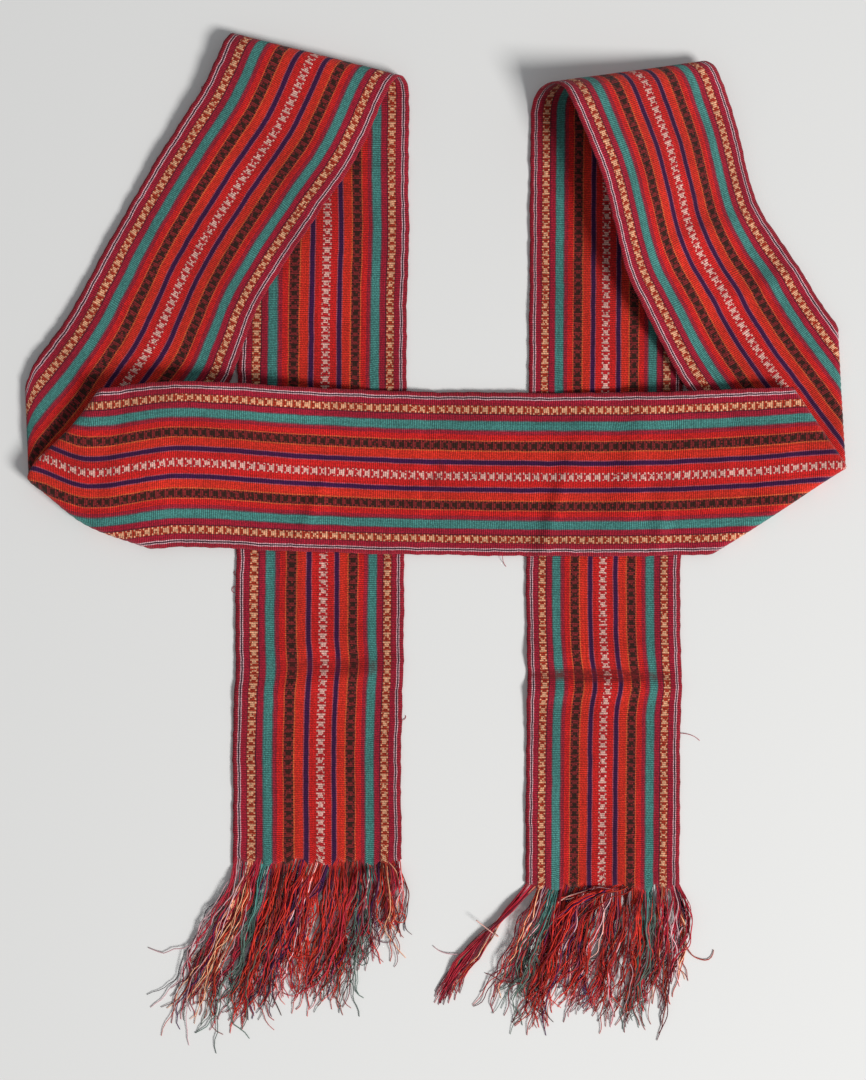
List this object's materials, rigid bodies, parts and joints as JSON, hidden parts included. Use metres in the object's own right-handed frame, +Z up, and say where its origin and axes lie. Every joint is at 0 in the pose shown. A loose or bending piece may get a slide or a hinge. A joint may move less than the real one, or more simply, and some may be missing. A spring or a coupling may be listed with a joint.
{
  "type": "woven sash",
  "caption": "Long striped woven sash laid in a loose H on a flat surface, with twisted corners, ends folded back on themselves and loose fringes; worn tied round the waist.",
  "frame": {"origin": "middle of the outline seen from above, on the surface that the sash lies on", "axes": "+Z up from the surface, +Y along the tails away from their fringes, +X from the left tail to the right one"},
  "size_m": [0.6126, 0.7583, 0.0433],
  "materials": {
    "cloth": "matte ribbed weave",
    "fringe": "matte loose yarn"
  },
  "bodies": {
    "root": {"sash": "cloth", "fringe_left": "fringe", "fringe_right": "fringe"}
  },
  "joints": []
}
